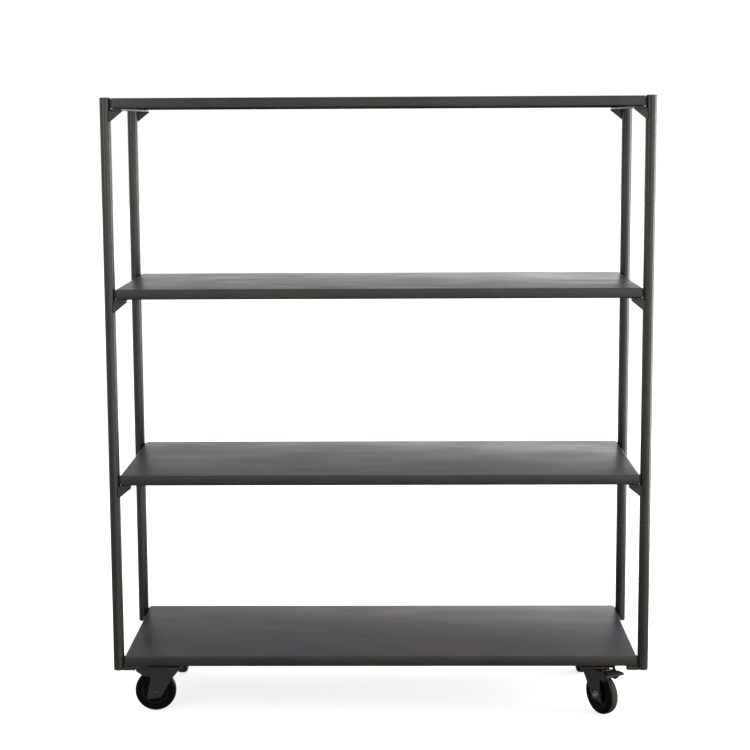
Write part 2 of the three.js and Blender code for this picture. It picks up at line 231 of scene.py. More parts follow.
# ---------------------------------------------------------------- procedural materials
class Paint:
    """A material built from nodes, with short calls for the ones used here."""

    def __init__(self, name):
        self.material = bpy.data.materials.new(name)
        self.material.use_nodes = True
        self.tree = self.material.node_tree
        self.shader = self.tree.nodes["Principled BSDF"]
        self.place = self.node("ShaderNodeTexCoord").outputs["Object"]

    def node(self, kind, **settings):
        made = self.tree.nodes.new(kind)
        for key, value in settings.items():
            setattr(made, key, value)
        return made

    def link(self, output, node, socket):
        self.tree.links.new(output, node.inputs[socket])

    def put(self, socket, value):
        self.shader.inputs[socket].default_value = value

    def stretched(self, scale):
        """The piece's own coordinates, scaled along each axis."""
        mapping = self.node("ShaderNodeMapping")
        mapping.inputs["Scale"].default_value = scale
        self.link(self.place, mapping, "Vector")
        return mapping.outputs["Vector"]

    def noise(self, scale, detail=4.0, rough=0.55, vector=None, distortion=0.0):
        """Cloudy noise from 0 to 1, mostly near 0.5."""
        made = self.node("ShaderNodeTexNoise")
        made.inputs["Scale"].default_value = scale
        made.inputs["Detail"].default_value = detail
        made.inputs["Roughness"].default_value = rough
        made.inputs["Distortion"].default_value = distortion
        self.link(vector or self.place, made, "Vector")
        return made.outputs["Fac"]

    def ramp(self, value, stops):
        """Colours or levels by value: stops are (value, colour or level)."""
        made = self.node("ShaderNodeValToRGB")
        band = made.color_ramp
        while len(band.elements) < len(stops):
            band.elements.new(0.5)
        for element, (where, colour) in zip(band.elements, stops):
            element.position = where
            grey = isinstance(colour, (int, float))
            element.color = (colour, colour, colour, 1) if grey else (*colour, 1)
        self.link(value, made, "Fac")
        return made.outputs["Color"]

    def mix(self, fac, a, b, blend="MIX"):
        """a towards b by fac; each is a socket, or a number or colour."""
        made = self.node("ShaderNodeMix", data_type="RGBA", blend_type=blend)
        for socket, value in ((MIX_FACTOR, fac), (MIX_A, a), (MIX_B, b)):
            if isinstance(value, bpy.types.NodeSocket):
                self.tree.links.new(value, made.inputs[socket])
            elif socket == MIX_FACTOR:
                made.inputs[socket].default_value = value
            else:
                made.inputs[socket].default_value = (*value, 1)
        return made.outputs[MIX_RESULT]

    def edges(self, radius):
        """1 along sharp edges, 0 on flats: how far the rounded normal leans off the true one."""
        bevel = self.node("ShaderNodeBevel", samples=4)
        bevel.inputs["Radius"].default_value = radius
        geometry = self.node("ShaderNodeNewGeometry")
        dot = self.node("ShaderNodeVectorMath", operation="DOT_PRODUCT")
        self.link(bevel.outputs["Normal"], dot, 0)
        self.link(geometry.outputs["Normal"], dot, 1)
        return self.ramp(dot.outputs["Value"], [(0.80, 1.0), (0.97, 0.0)])

    def bump(self, layers):
        """layers: (height output, distance in metres), laid over each other."""
        normal = None
        for height, distance in layers:
            made = self.node("ShaderNodeBump")
            made.inputs["Strength"].default_value = 1.0
            made.inputs["Distance"].default_value = distance
            self.link(height, made, "Height")
            if normal is not None:
                self.link(normal, made, "Normal")
            normal = made.outputs["Normal"]
        self.link(normal, self.shader, "Normal")


STEEL_COLOURS = (
    (0.033, 0.035, 0.029),      # grey
    (0.049, 0.042, 0.032),      # brown
    (0.026, 0.033, 0.040),      # blue
    (0.046, 0.037, 0.046),      # violet
    (0.018, 0.018, 0.016),      # smut
    (0.15, 0.14, 0.13),         # rubbed bare
)
# colours painted on faces that look up, lighter than the steel: painted sheen in place of the light the
# decks reflect
LIT_TOP_BLUE, LIT_TOP_GREY, LIT_TOP_VIOLET = (0.016, 0.026, 0.050), (0.034, 0.034, 0.031), (0.062, 0.036, 0.052)
VIOLET_SHEEN, OLIVE_SHEEN = (1.0, 0.97, 0.99), (0.99, 1.0, 0.93)
SATIN = (0.30, 0.38)            # roughness, least and most
EDGE_WEAR = 1.6 * MM            # how far in from an edge the steel is rubbed bare


def gunmetal(name, tone, warm, grain, wear, rough=SATIN, sheen=VIOLET_SHEEN, lit_top=0.0):
    """Blackened steel under a satin lacquer, clouded brown, blue and violet, drawn out along the grain.

    tone is its brightness, warm how much violet, wear how bare the edges are, and the last argument how
    strongly the faces that look up are painted lighter in blue, grey and violet clouds: painted sheen.
    """
    p = Paint(name)
    grey, brown, blue, violet, dark, bright = [tuple(c * tone for c in colour) for colour in STEEL_COLOURS]
    along = p.stretched(grain)
    clouds = p.noise(5, 5, 0.6, along, 0.6)
    colour = p.ramp(clouds, [(0.41, blue), (0.49, grey), (0.58, brown)])
    patches = p.ramp(p.noise(7.5, 3, 0.5, along, 1.2), [(0.48, 0.0), (0.60, warm)])
    colour = p.mix(patches, colour, violet)
    # painted sheen: faces that look up are painted lighter, in blue, grey and violet clouds
    if lit_top:
        upward = p.node("ShaderNodeSeparateXYZ")
        p.link(p.node("ShaderNodeNewGeometry").outputs["Normal"], upward, 0)
        lit_top_clouds = p.ramp(p.noise(4.2, 3, 0.5, along, 1.6),
                       [(0.40, LIT_TOP_BLUE), (0.49, LIT_TOP_GREY), (0.58, LIT_TOP_VIOLET)])
        colour = p.mix(p.ramp(upward.outputs["Z"], [(0.5, 0.0), (0.9, lit_top)]), colour, lit_top_clouds)
    smut = p.ramp(p.noise(24, 3, 0.5, along), [(0.36, 0.5), (0.60, 0.0)])
    colour = p.mix(smut, colour, dark)
    rubbed = p.ramp(p.noise(60, 4, 0.6), [(0.35, 0.0), (0.7, wear)])
    edge = p.mix(1.0, p.edges(EDGE_WEAR), rubbed, "MULTIPLY")
    colour = p.mix(edge, colour, bright)
    p.link(colour, p.shader, "Base Color")
    p.put("Specular Tint", (*sheen, 1))
    polish = p.mix(0.2, p.noise(11, 4, 0.5, along), p.noise(130, 2, 0.4))
    p.link(p.ramp(polish, [(0.36, rough[0]), (0.62, rough[1])]), p.shader, "Roughness")
    fine = p.stretched((grain[0] * 0.25, grain[1], grain[2]))
    p.bump([(p.noise(420, 3, 0.6, fine), 0.02 * MM), (p.noise(34, 3, 0.5), 0.06 * MM)])
    return p.material


def rubber():
    """Black rubber, dusty grey where the piece's "tread" attribute marks the running surface."""
    p = Paint("tyre_rubber")
    dust = p.ramp(p.noise(38, 6, 0.65), [(0.42, 0.0), (0.72, 0.4)])
    colour = p.mix(dust, (0.002, 0.002, 0.0019), (0.009, 0.008, 0.007))
    tread = p.node("ShaderNodeAttribute", attribute_name="tread")
    colour = p.mix(tread.outputs["Fac"], colour, (0.050, 0.048, 0.040))
    p.link(colour, p.shader, "Base Color")
    p.link(p.ramp(p.noise(90, 4), [(0.3, 0.48), (0.7, 0.68)]), p.shader, "Roughness")
    p.put("Specular IOR Level", 0.06)
    p.bump([(p.noise(700, 3, 0.6), 0.06 * MM), (p.noise(120, 3, 0.5), 0.08 * MM)])
    return p.material


def moulded(name, colour, dusty, rough, shine=0.5):
    """Moulded plastic with dusty specks; shine is its specular level."""
    p = Paint(name)
    p.put("Specular IOR Level", shine)
    speck = p.ramp(p.noise(75, 5, 0.6), [(0.40, 0.0), (0.75, 0.6)])
    p.link(p.mix(speck, colour, dusty), p.shader, "Base Color")
    p.link(p.ramp(p.noise(160, 3), [(0.3, rough - 0.07), (0.7, rough + 0.08)]), p.shader, "Roughness")
    p.bump([(p.noise(900, 2, 0.5), 0.04 * MM)])
    return p.material


def plated():
    """Zinc-plated fasteners, clouded in brightness and roughness."""
    p = Paint("axle_steel")
    cloud = p.noise(160, 5, 0.6)
    p.link(p.ramp(cloud, [(0.3, (0.30, 0.29, 0.27)), (0.7, (0.62, 0.61, 0.58))]), p.shader, "Base Color")
    p.put("Metallic", 1.0)
    p.link(p.ramp(p.noise(240, 4), [(0.3, 0.26), (0.7, 0.42)]), p.shader, "Roughness")
    p.bump([(p.noise(800, 3), 0.03 * MM)])
    return p.material


PAINTS = {
    "tube_steel": gunmetal("tube_steel", 0.66, 0.2, (1, 1, 0.3), 0.35, (0.25, 0.31), OLIVE_SHEEN),
    # the shelves' upward faces carry the painted sheen
    "shelf_steel": gunmetal("shelf_steel", 0.62, 0.8, (0.45, 1.4, 1.4), 0.5, lit_top=0.55),
    "bracket_steel": gunmetal("bracket_steel", 0.75, 0.3, (1, 1, 1), 0.5, sheen=OLIVE_SHEEN),
    "caster_steel": gunmetal("caster_steel", 0.55, 0.3, (1, 1, 1), 0.5, (0.35, 0.43)),
    "cap_plastic": moulded("cap_plastic", (0.020, 0.019, 0.018), (0.035, 0.034, 0.032), 0.45),
    "hub_plastic": moulded("hub_plastic", (0.003, 0.003, 0.003), (0.009, 0.0085, 0.007), 0.45, 0.15),
    "tyre_rubber": rubber(),
    "axle_steel": plated(),
}


# ---------------------------------------------------------------- mesh tools
SHARP = 32.0                # degrees: edges that turn more are shaded sharp and, where asked, rounded


def finish_piece(name, bm, body, slot, place=None, bevel=0.0, segments=2, sharp=SHARP):
    """Turns a bmesh into a piece that rides on a CAD body, with the material that its slot names."""
    bmesh.ops.remove_doubles(bm, verts=bm.verts, dist=1e-7)
    bmesh.ops.recalc_face_normals(bm, faces=bm.faces)
    if place is not None:
        bm.transform(place)
    mesh = bpy.data.meshes.new(name)
    bm.to_mesh(mesh)
    bm.free()
    return adopt(name, mesh, body, slot, bevel, segments, sharp)


def adopt(name, mesh, body, slot, bevel=0.0, segments=2, sharp=SHARP):
    """Gives a mesh the material that its slot names, smooth shading with sharp edges, and its body."""
    mesh.materials.clear()
    mesh.materials.append(PAINTS[slot])
    mesh.shade_smooth()
    mesh.set_sharp_from_angle(angle=math.radians(sharp))
    piece = bpy.data.objects.new(name, mesh)
    bpy.context.scene.collection.objects.link(piece)
    if bevel:
        soften(piece, bevel, segments)
    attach(piece, body)
    return piece


def soften(piece, width, segments):
    """Rounds a piece's sharp edges."""
    modifier = piece.modifiers.new("soft_edges", "BEVEL")
    modifier.width = width
    modifier.segments = segments
    modifier.limit_method = "ANGLE"
    modifier.angle_limit = math.radians(SHARP)
    modifier.harden_normals = True
    modifier.use_clamp_overlap = True


def loft(bm, rings):
    """Joins equal rings of points into a solid, capped at both ends."""
    loops = [[bm.verts.new(point) for point in ring] for ring in rings]
    count = len(loops[0])
    for low, high in zip(loops, loops[1:]):
        for i in range(count):
            j = (i + 1) % count
            bm.faces.new((low[i], low[j], high[j], high[i]))
    bm.faces.new(list(reversed(loops[0])))
    bm.faces.new(loops[-1])
    return bm


def turned(profile, sides=64, axis="Z"):
    """A closed profile of (radius, height) turned into a solid. Points on the axis become poles."""
    bm = bmesh.new()
    columns = []
    for i in range(sides):
        a = 2 * math.pi * i / sides
        columns.append((math.cos(a), math.sin(a)))
    rows = []
    for r, h in profile:
        if r < 1e-9:
            rows.append([bm.verts.new((0, 0, h))])
        else:
            rows.append([bm.verts.new((r * c, r * s, h)) for c, s in columns])
    closing = [] if len(rows[0]) == 1 else [(rows[-1], rows[0])]
    for low, high in list(zip(rows, rows[1:])) + closing:
        for i in range(sides):
            j = (i + 1) % sides
            corner = [low[i % len(low)], low[j % len(low)], high[j % len(high)], high[i % len(high)]]
            face = list(dict.fromkeys(corner))
            if len(face) > 2:
                bm.faces.new(face)
    if axis == "Y":
        bm.transform(Matrix.Rotation(math.pi / 2, 4, "X"))
    return bm


def cylinder(radius, h0, h1, sides, axis="Z"):
    """A plain cylinder along an axis, from h0 to h1."""
    return turned([(0, h0), (radius, h0), (radius, h1), (0, h1)], sides, axis)


def plate(points, y0, y1):
    """An outline in XZ made into a plate from y0 to y1."""
    bm = bmesh.new()
    loft(bm, [[(x, y, z) for x, z in points] for y in (y0, y1)])
    return bm


def block(low, high):
    """A box between two corners."""
    bm = bmesh.new()
    (x0, y0, z0), (x1, y1, z1) = low, high
    rings = [[(x0, y0, z), (x1, y0, z), (x1, y1, z), (x0, y1, z)] for z in (z0, z1)]
    return loft(bm, rings)


def upright_edges(bm):
    return [e for e in bm.edges if abs(e.verts[0].co.z - e.verts[1].co.z) > 0.1 * MM]


def round_edges(bm, edges, radius, segments):
    bmesh.ops.bevel(bm, geom=list(edges), offset=radius, segments=segments, profile=0.5, affect="EDGES")


def rounded_profile(points, radius, steps=3):
    """Rounds every inner corner of an open profile of (r, h) points."""
    out = [points[0]]
    for before, here, after in zip(points, points[1:], points[2:]):
        p, a, b = Vector(here), Vector(before), Vector(after)
        reach = min(radius, (a - p).length * 0.45, (b - p).length * 0.45)
        start = p + (a - p).normalized() * reach
        end = p + (b - p).normalized() * reach
        for i in range(steps + 1):
            t = i / steps
            spot = start * (1 - t) ** 2 + p * 2 * t * (1 - t) + end * t * t
            out.append((spot.x, spot.y))
    out.append(points[-1])
    return out


def rounded_outline(points, steps=6):
    """A closed outline of (x, z, corner radius) points with its corners rounded."""
    out = []
    for i, (x, z, radius) in enumerate(points):
        corner = Vector((x, z))
        if not radius:
            out.append((x, z))
            continue
        before, after = Vector(points[i - 1][:2]), Vector(points[(i + 1) % len(points)][:2])
        start = corner + (before - corner).normalized() * radius
        end = corner + (after - corner).normalized() * radius
        for k in range(steps + 1):
            t = k / steps
            spot = start * (1 - t) ** 2 + corner * 2 * t * (1 - t) + end * t * t
            out.append((spot.x, spot.y))
    return out


def merged(*parts):
    """Several separate shells in one bmesh."""
    whole = parts[0]
    for part in parts[1:]:
        mesh = bpy.data.meshes.new("part")
        part.to_mesh(mesh)
        whole.from_mesh(mesh)
        bpy.data.meshes.remove(mesh)
        part.free()
    return whole


def boolean(base, cutters, operation):
    """base joined with or cut by the cutters, all bmeshes; gives a new mesh."""
    objects = []
    for i, bm in enumerate([base, *cutters]):
        bmesh.ops.recalc_face_normals(bm, faces=bm.faces)
        mesh = bpy.data.meshes.new(f"operand_{i}")
        bm.to_mesh(mesh)
        bm.free()
        operand = bpy.data.objects.new(f"operand_{i}", mesh)
        bpy.context.scene.collection.objects.link(operand)
        objects.append(operand)
    for other, how in zip(objects[1:], operation):
        modifier = objects[0].modifiers.new("cut", "BOOLEAN")
        modifier.operation = how
        modifier.solver = "EXACT"
        modifier.object = other
    bpy.context.view_layer.update()
    graph = bpy.context.evaluated_depsgraph_get()
    result = bpy.data.meshes.new_from_object(objects[0].evaluated_get(graph))
    for o in objects:
        bpy.data.objects.remove(o)
    return result


def weld_bead(name, start, end):
    """A rippled fillet weld between two points on the frame, ends tapered."""
    start, end = Vector(start), Vector(end)
    along = (end - start).normalized()
    side = along.orthogonal().normalized()
    up = along.cross(side)
    length = (end - start).length
    steps = max(8, int(length / WELD_STEP))
    rings = []
    for i in range(steps + 1):
        t = i / steps
        taper = min(1.0, 0.35 + 5 * min(t, 1 - t))
        ripple = 1 + 0.16 * math.sin(i * math.pi * 0.8) + 0.10 * noise.noise(start * 90 + Vector((0, 0, i)))
        r = WELD_R * taper * ripple
        centre = start + along * (length * t)
        ring = []
        for k in range(8):
            a = math.pi * k / 4
            ring.append(centre + side * (r * math.cos(a)) + up * (r * math.sin(a)))
        rings.append(ring)
    bm = bmesh.new()
    loft(bm, rings)
    finish_piece(name, bm, "frame", "bracket_steel", sharp=60)


def hex_bolt(across, height, shank_r=0.0, shank=0.0, dome=0.0, washer=0.0):
    """A chamfered hex head up from z = 0, with an optional washer, shank and domed end on top."""
    r = across / math.sqrt(3)
    chamfer = across * 0.06
    rings = []
    for z, scale in ((0, 0.96), (chamfer, 1.0), (height - chamfer, 1.0), (height, 0.90)):
        rings.append([(r * scale * math.cos(math.pi * k / 3), r * scale * math.sin(math.pi * k / 3), z)
                      for k in range(6)])
    parts = [loft(bmesh.new(), rings)]
    if washer:
        parts.append(turned([(0, -washer), (across * 0.78, -washer), (across * 0.80, -washer / 2),
                             (across * 0.78, 0), (0, 0)], 32))
    if shank:
        parts.append(turned([(0, -shank - washer), (shank_r * 0.85, -shank - washer),
                             (shank_r, -shank - washer + shank_r * 0.2), (shank_r, 0.0), (0, 0.0)], 24))
    if dome:
        root = height - 0.1 * MM
        parts.append(turned([(0, root), (shank_r, root), (shank_r, height + dome * 0.6),
                             (shank_r * 0.8, height + dome), (0, height + dome)], 24))
    return merged(*parts)


# ---------------------------------------------------------------- frame
def make_post(end, side):
    """Round tube with a plug cap in its top and a foot plug in its bottom."""
    node = f"post_{end}_{side}"
    low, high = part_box(node)
    centre = (low + high) / 2
    r = (high.x - low.x) / 2
    inner = r - POST_WALL
    lip = 0.5 * MM                                      # eased ends
    outer = [(inner, low.z), (r - lip, low.z), (r, low.z + lip)]
    outer += [(r, low.z + (high.z - low.z) * i / POST_ROWS) for i in range(1, POST_ROWS)]
    outer += [(r, high.z - lip), (r - lip, high.z), (inner, high.z)]
    place = Matrix.Translation((centre.x, centre.y, 0))
    tube = finish_piece(f"{node}_tube", turned(outer, 72), "frame", "tube_steel", place)
    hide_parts(node)

    cap = f"post_cap_{end}_{side}"
    _, cap_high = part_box(cap)
    rise = cap_high.z - high.z
    plug = rounded_profile([(0, high.z - 16 * MM), (inner - 0.3 * MM, high.z - 16 * MM),
                            (inner - 0.3 * MM, high.z + 0.1 * MM), (r - 0.4 * MM, high.z + 0.1 * MM),
                            (r - 0.8 * MM, high.z + rise * 0.55), (r * 0.55, high.z + rise * 0.92),
                            (0, high.z + rise)], 0.6 * MM)
    head = finish_piece(f"{cap}_plug", turned(plug, 48), "frame", "cap_plastic", place)
    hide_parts(cap)

    foot = rounded_profile([(0, low.z - 0.2 * MM), (inner - 2 * MM, low.z - 0.2 * MM),
                            (inner - 0.2 * MM, low.z + 0.8 * MM),
                            (inner - 0.2 * MM, low.z + 14 * MM), (0, low.z + 14 * MM)], 0.8 * MM)
    finish_piece(f"post_foot_{end}_{side}_plug", turned(foot, 48), "frame", "cap_plastic", place)


def make_shelf(level):
    """Folded pan: rounded deck edges and corners, lips, and flanges turned in under them."""
    node = f"shelf_{level}"
    low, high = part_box(node)
    bm = block(low, high)
    round_edges(bm, upright_edges(bm), CORNER_R, 5)
    upright = set(upright_edges(bm))
    round_edges(bm, [e for e in bm.edges if e not in upright], FOLD_R, 5)
    under = min(bm.faces, key=lambda f: (f.calc_center_median().z, -f.calc_area()))
    bmesh.ops.inset_region(bm, faces=[under], thickness=FLANGE - FOLD_R)
    bmesh.ops.delete(bm, geom=[under], context="FACES")
    bmesh.ops.recalc_face_normals(bm, faces=bm.faces)
    mesh = bpy.data.meshes.new(f"{node}_pan")
    bm.to_mesh(mesh)
    bm.free()
    pan = adopt(f"{node}_pan", mesh, "frame", "shelf_steel", sharp=40)
    sheet = pan.modifiers.new("sheet", "SOLIDIFY")
    sheet.thickness = SHEET
    sheet.offset = -1
    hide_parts(node)
    return pan


def make_bearer(level, side):
    """Flat bar from front to back under a shelf's end."""
    node = f"bearer_{level}_{side}"
    low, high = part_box(node)
    bar = finish_piece(f"{node}_bar", block(low, high), "frame", "bracket_steel",
                       bevel=0.9 * MM, segments=3)
    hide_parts(node)


def make_gusset(level, end, side):
    """Triangular plate with eased edges between a post and a bearer, and its four welds."""
    node = f"gusset_{level}_{end}_{side}"
    low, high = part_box(node)
    inner, outer = (high.x, low.x) if side == "left" else (low.x, high.x)
    away = 1 if side == "left" else -1
    if level == "bottom":
        free_edge = [(inner - away * 4 * MM, low.z), (outer, low.z)]
    else:
        heel = outer + away * 2 * MM
        free_edge = [(inner, high.z - 1.5 * MM), (inner - away * 1.5 * MM, high.z - 3.2 * MM),
                     (heel + away * 1.5 * MM, low.z + 1.5 * MM), (heel, low.z), (outer, low.z)]
    outline = [(outer, high.z), (inner, high.z), *free_edge]
    body = finish_piece(f"{node}_plate", plate(outline, low.y, high.y), "frame", "bracket_steel",
                        bevel=0.5 * MM, segments=2, sharp=25)
    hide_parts(node)
    for face, y in (("a", low.y), ("b", high.y)):
        weld_bead(f"{node}_weld_post_{face}", (outer, y, high.z - 1 * MM), (outer, y, low.z + 1.5 * MM))
        weld_bead(f"{node}_weld_bar_{face}", (outer + away * 2 * MM, y, high.z),
                  (inner - away * 2 * MM, y, high.z))


def make_gap_shade(level, end, side):
    """Near-black block that closes the gap between a shelf's end and the post: painted shade in place of
    the shadow there.
    """
    low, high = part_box(f"shelf_{level}")
    post_low, post_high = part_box(f"post_{end}_{side}")
    inner, outer = (high.x, post_low.x) if side == "right" else (low.x, post_high.x)
    lap = math.copysign(0.8 * MM, outer - inner)        # into the shelf and into the post
    x0, x1 = sorted((inner - lap, outer + lap))
    y = (post_low.y + post_high.y) / 2
    # painted shade: a block in dark plastic colour fills the gap
    gap_shade = block((x0, y - GAP_SHADE_HALF_Y, low.z + 2 * MM), (x1, y + GAP_SHADE_HALF_Y, high.z - 3 * MM))
    finish_piece(f"shelf_tab_{level}_{end}_{side}", gap_shade, "frame", "cap_plastic", bevel=0.5 * MM)


def make_channel(side):
    """U-channel, open upwards, across the underside of the bottom shelf."""
    node = f"caster_channel_{side}"
    low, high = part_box(node)
    t = CHANNEL_T
    ring = [(low.x, low.z), (high.x, low.z), (high.x, high.z), (high.x - t, high.z),
            (high.x - t, low.z + t), (low.x + t, low.z + t), (low.x + t, high.z), (low.x, high.z)]
    channel = finish_piece(f"{node}_web", plate(ring, low.y, high.y), "frame", "bracket_steel",
                           bevel=1.0 * MM, segments=3)
    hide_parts(node)


# ---------------------------------------------------------------- casters
def caster_place(name):
    """The caster's frame at rest: origin on the floor under the swivel, +X the way the wheel trails."""
    joints = {j["name"]: j for j in frame["joints"]}
    swivel = Vector(joints[f"swivel_{name}"]["pos_m"])
    axle = Vector(joints[f"roll_{name}"]["pos_m"])
    trail = math.atan2(axle.y - swivel.y, axle.x - swivel.x)
    return Matrix.Translation((swivel.x, swivel.y, 0)) @ Matrix.Rotation(trail, 4, "Z"), axle.z


def make_wheel(name, place, axle_z):
    """Rubber tyre on a hub with eight ribs on each face."""
    low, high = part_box(f"wheel_tyre_{name}")
    radius = (high.z - low.z) / 2
    half, hub_r = TYRE_HALF, HUB_R
    body = f"wheel_{name}"
    spin = place @ Matrix.Translation((CASTER_OFFSET, 0, axle_z)) @ Matrix.Rotation(math.pi / 2, 4, "X")

    side = rounded_profile([(hub_r, -half + 1 * MM), (hub_r + 2 * MM, -half), (radius - 8 * MM, -half),
                            (radius - 2.2 * MM, -half + 3.5 * MM), (radius - 0.5 * MM, -half + 9 * MM),
                            (radius, 0)], 2.5 * MM, 4)
    ring = side + [(r, -h) for r, h in reversed(side[:-1])]
    rubber_ring = turned(ring, 96)
    worn = rubber_ring.verts.layers.float.new("tread")
    for v in rubber_ring.verts:
        v[worn] = max(0.0, 1 - (radius - math.hypot(v.co.x, v.co.y)) / TREAD_DEPTH)
    tyre = finish_piece(f"tyre_{name}", rubber_ring, body, "tyre_rubber", spin, sharp=40)
    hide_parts(f"wheel_tyre_{name}")

    edge = rounded_profile([(AXLE_BORE_R, 19 * MM), (11 * MM, 19 * MM), (12.5 * MM, 17.5 * MM),
                            (14 * MM, 8 * MM), (17 * MM, 6 * MM), (hub_r - 9 * MM, 5.5 * MM),
                            (hub_r - 6.5 * MM, 13 * MM), (hub_r - 5 * MM, 14 * MM),
                            (hub_r - 0.2 * MM, 14 * MM)], 1.2 * MM, 3)
    both = edge + [(r, -h) for r, h in reversed(edge)]
    hub = turned(both, 80)
    ribs = []
    for k in range(8):
        for face in (-1, 1):
            rib = block((12 * MM, -1.3 * MM, 5 * MM), (hub_r - 7 * MM, 1.3 * MM, 11 * MM))
            if face < 0:
                rib.transform(Matrix.Rotation(math.pi, 4, "X"))
            rib.transform(Matrix.Rotation(math.pi * k / 4, 4, "Z"))
            ribs.append(rib)
    wheel = finish_piece(f"hub_{name}", merged(hub, *ribs), body, "hub_plastic", spin, bevel=0.35 * MM)
    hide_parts(f"wheel_hub_{name}")


def leg_outline():
    """Side view of a fork leg with its skirt over the wheel, in the caster's frame."""
    corners = [(-37, 138, 0), (-37, 132, 1), (-15, 105, 6), (21, 46, 5), (63, 40, 6), (50, 112, 6),
               (76, 113, 3), (80, 118, 1), (80, 138, 0)]
    return rounded_outline([(x * MM, z * MM, r * MM) for x, z, r in corners])


def make_fork(name, place):
    """Pressed fork: two legs, crown, lower ball race and pedal ears, bored for axle and kingpin."""
    inner = LEG_GAP / 2
    outer = inner + LEG_T
    shape = leg_outline()
    left = plate(shape, -outer, -inner)
    right = plate(shape, inner, outer)
    crown = block((-37 * MM, -outer, CROWN_Z), (57.5 * MM, outer, CROWN_TOP))
    race_root = CROWN_Z + 0.5 * MM
    race = turned(rounded_profile([(0, race_root), (36 * MM, race_root), (36 * MM, CROWN_TOP),
                                   (34.5 * MM, 141 * MM), (33 * MM, RACE_TOP), (0, RACE_TOP)],
                                  1.2 * MM, 3), 64)
    ear = [(59 * MM, CROWN_Z), (77 * MM, CROWN_Z), (74 * MM, 144 * MM), (72.5 * MM, 147 * MM),
           (63.5 * MM, 147 * MM), (62 * MM, 144 * MM)]
    ears = [plate(ear, y0, y1) for y0, y1 in ((-outer, -inner), (inner, outer))]
    joins = [right, crown, race, *ears]
    past = 60 * MM                                      # the drills reach past both legs
    bore = cylinder(AXLE_BORE_R, -past, past, 32, "Y")
    bore.transform(Matrix.Translation((CASTER_OFFSET, 0, AXLE_Z)))
    king = cylinder(KINGPIN_BORE_R, 120 * MM, 160 * MM, 32)
    pivot = cylinder(PEDAL_BORE_R, -past, past, 24, "Y")
    pivot.transform(Matrix.Translation((PEDAL_PIVOT[0], 0, PEDAL_PIVOT[1])))
    how = ["UNION"] * len(joins) + ["DIFFERENCE"] * 3
    mesh = boolean(left, [*joins, bore, king, pivot], how)
    mesh.transform(place)
    body = adopt(f"fork_{name}", mesh, f"swivel_{name}", "caster_steel",
                 bevel=0.8 * MM, segments=3, sharp=28)
    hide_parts(f"caster_fork_{name}")


def make_axle(name, place, axle_z):
    """Axle bolt: a blackened round head outside one leg, a plated lock nut outside the other."""
    body = f"swivel_{name}"
    face = LEG_GAP / 2 + LEG_T
    middle = place @ Matrix.Translation((CASTER_OFFSET, 0, axle_z))
    out = Matrix.Rotation(math.pi / 2, 4, "X")
    shank_r = 5 * MM
    head = turned(rounded_profile([(0, -2 * face), (shank_r, -2 * face), (shank_r, 0), (9 * MM, 0),
                                   (9 * MM, 1.6 * MM), (7.6 * MM, 3.4 * MM), (4.2 * MM, 4.4 * MM),
                                   (3.8 * MM, 3.4 * MM), (0, 3.2 * MM)], 0.8 * MM, 3), 48)
    head.transform(out.inverted() @ Matrix.Translation((0, 0, face + 0.3 * MM)))
    bolt = finish_piece(f"axle_bolt_{name}", head, body, "caster_steel", middle)
    nut = hex_bolt(BOLT_HEX, 6 * MM, shank_r, dome=1.8 * MM, washer=1.2 * MM)
    nut.transform(out @ Matrix.Translation((0, 0, face + 1.4 * MM)))
    lock = finish_piece(f"axle_nut_{name}", nut, body, "axle_steel", middle, bevel=0.3 * MM)
    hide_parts(f"caster_axle_{name}")
    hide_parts(f"caster_axle_{name}")


def make_plate(name):
    """Bolt plate with rounded corners, upper ball race, seal, kingpin and the four plate bolts."""
    node = f"caster_plate_{name}"
    low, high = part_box(node)
    centre = Vector(((low.x + high.x) / 2, (low.y + high.y) / 2, 0))
    half = Vector(((high.x - low.x) / 2, (high.y - low.y) / 2))
    at = Matrix.Translation(centre)
    top, bottom = high.z, high.z - CASTER_PLATE_T
    slab = block((-half.x, -half.y, bottom), (half.x, half.y, top))
    round_edges(slab, upright_edges(slab), 9 * MM, 8)
    cup = turned(rounded_profile([(0, 147.4 * MM), (30 * MM, 147.4 * MM), (32.5 * MM, 150 * MM),
                                  (31 * MM, bottom + 0.5 * MM), (0, bottom + 0.5 * MM)], 1.5 * MM, 4), 64)
    pin = cylinder(KINGPIN_R, 130.5 * MM, 148 * MM, 32)
    head = turned(rounded_profile([(0, 127.5 * MM), (6 * MM, 128.2 * MM), (10 * MM, 131 * MM),
                                   (10 * MM, 133.7 * MM), (0, 133.7 * MM)], 1.2 * MM), 40)
    mesh = boolean(slab, [cup, pin, head], ["UNION"] * 3)
    mesh.transform(at)
    body = adopt(f"{node}_steel", mesh, "frame", "caster_steel", bevel=0.6 * MM, segments=2)
    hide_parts(node)

    seal = turned(rounded_profile([(29 * MM, 146.6 * MM), (33.4 * MM, 146.8 * MM), (33.4 * MM, 148.8 * MM),
                                   (29 * MM, 148.9 * MM)], 0.8 * MM), 64)
    finish_piece(f"race_seal_{name}", seal, "frame", "cap_plastic", at)

    for k, (sx, sy) in enumerate(((-1, -1), (1, -1), (1, 1), (-1, 1))):
        spot = at @ Matrix.Translation((sx * (half.x - BOLT_INSET), sy * (half.y - BOLT_INSET), bottom))
        turn = Matrix.Rotation(math.pi, 4, "X") @ Matrix.Rotation(0.3 + 0.7 * k, 4, "Z")
        bolt = hex_bolt(BOLT_HEX, 5.5 * MM, BOLT_R, 9 * MM, washer=WASHER)
        bolt.transform(turn @ Matrix.Translation((0, 0, WASHER)))
        nut = hex_bolt(BOLT_HEX, 6.5 * MM, BOLT_R, dome=4 * MM, washer=WASHER)
        nut.transform(Matrix.Translation((0, 0, CASTER_PLATE_T + 3.3 * MM + WASHER)))
        finish_piece(f"plate_bolt_{name}_{k + 1}", merged(bolt, nut), "frame", "axle_steel", spot)


